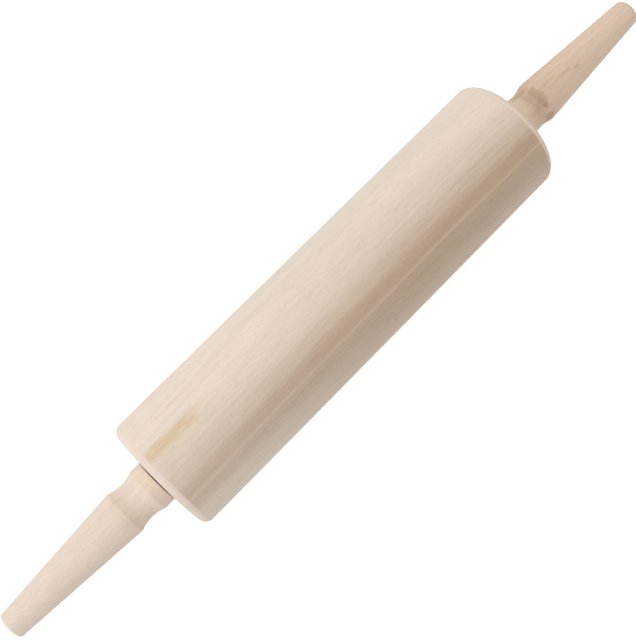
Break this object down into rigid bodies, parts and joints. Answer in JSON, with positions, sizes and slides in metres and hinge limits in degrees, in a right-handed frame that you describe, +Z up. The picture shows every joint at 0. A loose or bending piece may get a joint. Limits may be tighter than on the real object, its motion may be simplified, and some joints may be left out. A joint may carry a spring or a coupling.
{
  "type": "rolling pin",
  "caption": "Turned beech rolling pin whose bored barrel spins on a steel rod between tapered handles with a collar and hollow neck.",
  "frame": {"origin": "on the rod's axis at the middle of the barrel, which is the centre of the whole pin", "axes": "+X along the rod towards the right handle, +Z up, +Y across"},
  "size_m": [0.4432, 0.0644, 0.0642],
  "materials": {
    "barrel_beech": "sanded, unfinished",
    "left_handle_beech": "sanded, unfinished",
    "right_handle_beech": "sanded, unfinished",
    "rod_steel": "bright drawn",
    "bush_nylon": "as moulded",
    "washer_fibre": "dark brown vulcanised fibre, punched"
  },
  "bodies": {
    "handles": {"axle_rod": "rod_steel", "left_handle": "left_handle_beech", "right_handle": "right_handle_beech", "left_thrust_washer": "washer_fibre", "right_thrust_washer": "washer_fibre"},
    "roller": {"barrel": "barrel_beech", "left_bush": "bush_nylon", "right_bush": "bush_nylon"}
  },
  "joints": [
    {"name": "barrel_spin", "type": "hinge", "parent": "handles", "child": "roller", "pos_m": [0, 0, 0], "axis": [1, 0, 0], "continuous": true}
  ]
}
